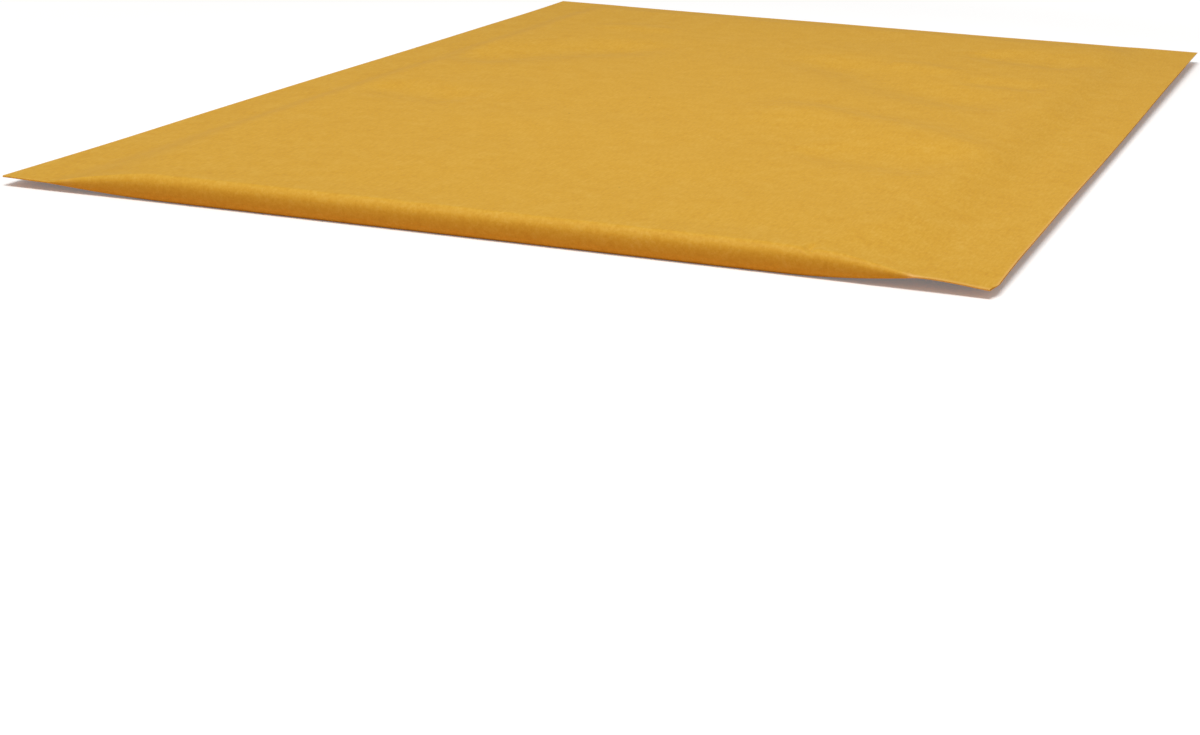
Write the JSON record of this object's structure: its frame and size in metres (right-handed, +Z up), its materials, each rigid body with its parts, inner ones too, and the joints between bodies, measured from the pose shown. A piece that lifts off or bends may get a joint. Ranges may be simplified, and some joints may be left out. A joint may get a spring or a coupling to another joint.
{
  "type": "padded bubble mailer",
  "caption": "Flat padded kraft mailer with a rounded bottom fold, flat side seals, a bubble-film lining and an open flap with an adhesive strip under its liner.",
  "frame": {"origin": "middle of the underside, at the bottom centre of the bounding box", "axes": "+X across the side seals, +Y from the bottom fold to the flap's free edge, +Z up through the address panel"},
  "size_m": [0.2666, 0.4064, 0.0076],
  "materials": {
    "kraft_paper": "matte, with a faint calendered sheen and fine fibre mottling",
    "bubble_film": "clear glossy film",
    "adhesive": "tacky, glossy",
    "release_liner": "translucent satin film"
  },
  "bodies": {
    "root": {"kraft_envelope": "kraft_paper", "bubble_lining": "bubble_film", "adhesive_strip": "adhesive", "release_liner": "release_liner"}
  },
  "joints": []
}
